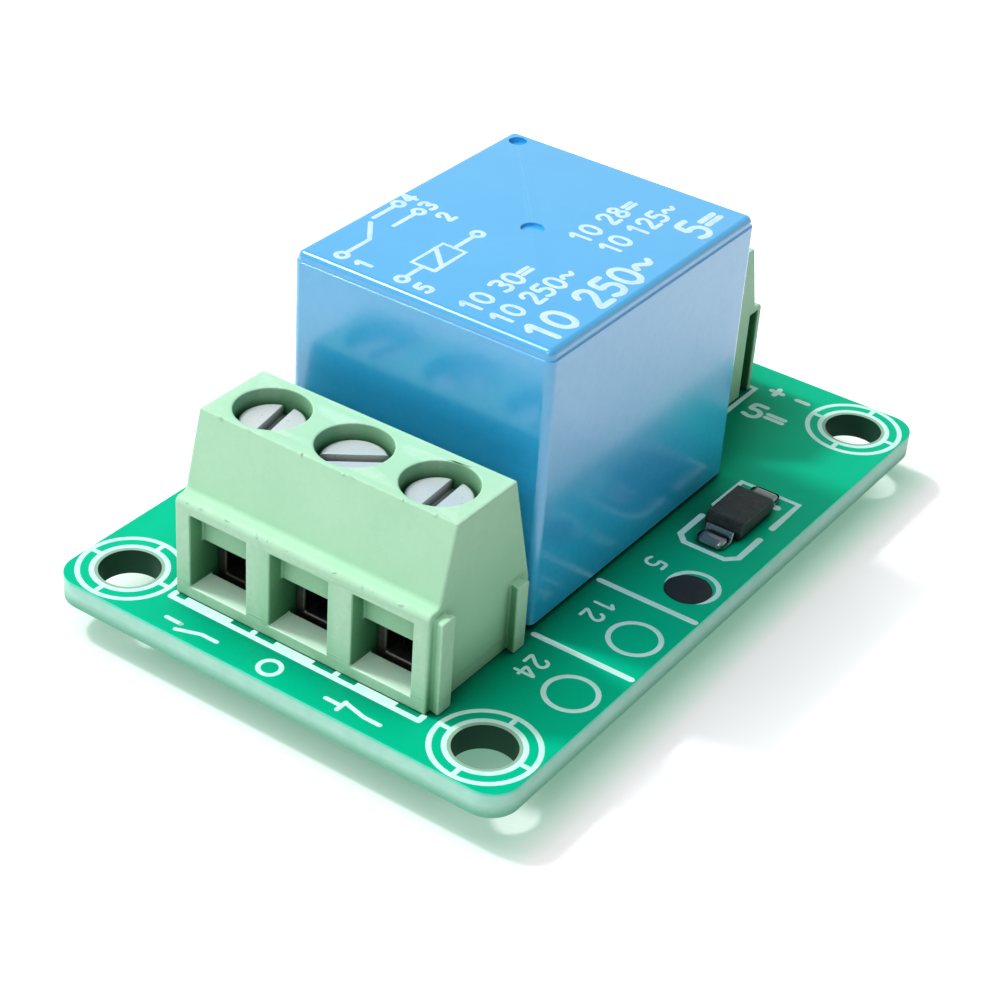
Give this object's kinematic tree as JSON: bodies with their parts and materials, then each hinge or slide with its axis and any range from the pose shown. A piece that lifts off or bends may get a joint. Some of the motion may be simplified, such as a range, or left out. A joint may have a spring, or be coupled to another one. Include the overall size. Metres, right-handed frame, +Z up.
{
  "type": "relay module board",
  "caption": "Drilled circuit board carrying a sealed relay, a suppression diode and screw terminals at its ends, for switching a load.",
  "frame": {"origin": "centre of the board in plan, at the tips of the solder pins that it stands on", "axes": "+X along the board's long side towards the two way terminal, +Y across it away from the diode, +Z up"},
  "size_m": [0.0426, 0.028, 0.0195],
  "materials": {
    "board_laminate": "solder mask, glossy",
    "solder": "bright solder",
    "case_blue": "moulded, semi gloss",
    "base_black": "moulded with sealing resin",
    "bobbin_white": "moulded",
    "coil_copper": "enamelled copper wire",
    "soft_iron": "zinc plated iron",
    "spring_bronze": "rolled bronze",
    "contact_silver": "silver alloy",
    "terminal_brass": "stamped brass",
    "tinned_pin": "tinned brass",
    "housing_green": "moulded, satin",
    "zinc_steel": "zinc plated",
    "plated_cage": "nickel plated brass",
    "diode_black": "moulded epoxy"
  },
  "bodies": {
    "root": {"circuit_board": "board_laminate", "solder_joints": "solder", "relay_cover": "case_blue", "relay_base": "base_black", "coil_bobbin": "bobbin_white", "coil_winding": "coil_copper", "iron_core": "soft_iron", "yoke": "soft_iron", "nc_terminal": "terminal_brass", "nc_contact": "contact_silver", "no_terminal": "terminal_brass", "no_contact": "contact_silver", "common_terminal": "terminal_brass", "coil_pins": "tinned_pin", "output_housing": "housing_green", "output_contact_1": "tinned_pin", "output_contact_2": "tinned_pin", "output_contact_3": "tinned_pin", "input_housing": "housing_green", "input_contact_1": "tinned_pin", "input_contact_2": "tinned_pin", "diode_body": "diode_black", "diode_leads": "tinned_pin", "diode_solder": "solder"},
    "armature": {"armature": "soft_iron", "contact_spring": "spring_bronze", "spring_rivets": "soft_iron", "moving_contact": "contact_silver"},
    "output_screw_1": {"output_screw_1": "zinc_steel"},
    "output_screw_2": {"output_screw_2": "zinc_steel"},
    "output_screw_3": {"output_screw_3": "zinc_steel"},
    "input_screw_1": {"input_screw_1": "zinc_steel"},
    "input_screw_2": {"input_screw_2": "zinc_steel"},
    "output_cage_1": {"output_cage_1": "plated_cage"},
    "output_cage_2": {"output_cage_2": "plated_cage"},
    "output_cage_3": {"output_cage_3": "plated_cage"},
    "input_cage_1": {"input_cage_1": "plated_cage"},
    "input_cage_2": {"input_cage_2": "plated_cage"}
  },
  "joints": [
    {"name": "output_screw_1_turn", "type": "hinge", "parent": "root", "child": "output_screw_1", "pos_m": [-0.01423, -0.00488, 0.0115], "axis": [0, 0, -1], "range_deg": [0, 1802]},
    {"name": "output_cage_1_rise", "type": "slide", "parent": "root", "child": "output_cage_1", "axis": [0, 0, 1], "range_m": [0, 0.00225]},
    {"name": "output_screw_2_turn", "type": "hinge", "parent": "root", "child": "output_screw_2", "pos_m": [-0.01423, 0.0002, 0.0115], "axis": [0, 0, -1], "range_deg": [0, 1802]},
    {"name": "output_cage_2_rise", "type": "slide", "parent": "root", "child": "output_cage_2", "axis": [0, 0, 1], "range_m": [0, 0.00225]},
    {"name": "output_screw_3_turn", "type": "hinge", "parent": "root", "child": "output_screw_3", "pos_m": [-0.01423, 0.00528, 0.0115], "axis": [0, 0, -1], "range_deg": [0, 1802]},
    {"name": "output_cage_3_rise", "type": "slide", "parent": "root", "child": "output_cage_3", "axis": [0, 0, 1], "range_m": [0, 0.00225]},
    {"name": "input_screw_1_turn", "type": "hinge", "parent": "root", "child": "input_screw_1", "pos_m": [0.01423, 0.00354, 0.0115], "axis": [0, 0, -1], "range_deg": [0, 1802]},
    {"name": "input_cage_1_rise", "type": "slide", "parent": "root", "child": "input_cage_1", "axis": [0, 0, 1], "range_m": [0, 0.00225]},
    {"name": "input_screw_2_turn", "type": "hinge", "parent": "root", "child": "input_screw_2", "pos_m": [0.01423, -0.00154, 0.0115], "axis": [0, 0, -1], "range_deg": [0, 1802]},
    {"name": "input_cage_2_rise", "type": "slide", "parent": "root", "child": "input_cage_2", "axis": [0, 0, 1], "range_m": [0, 0.00225]},
    {"name": "armature_pull", "type": "hinge", "parent": "root", "child": "armature", "pos_m": [0.00535, 0, 0.01538], "axis": [0, -1, 0], "range_deg": [0, 2.2], "stiffness_Nm_per_rad": 0.003, "springref_deg": -11.46}
  ],
  "couplings": [
    {"joint": "output_screw_1_turn", "follows": "output_cage_1_rise", "rad_per_m": 13963},
    {"joint": "output_screw_2_turn", "follows": "output_cage_2_rise", "rad_per_m": 13963},
    {"joint": "output_screw_3_turn", "follows": "output_cage_3_rise", "rad_per_m": 13963},
    {"joint": "input_screw_1_turn", "follows": "input_cage_1_rise", "rad_per_m": 13963},
    {"joint": "input_screw_2_turn", "follows": "input_cage_2_rise", "rad_per_m": 13963}
  ]
}
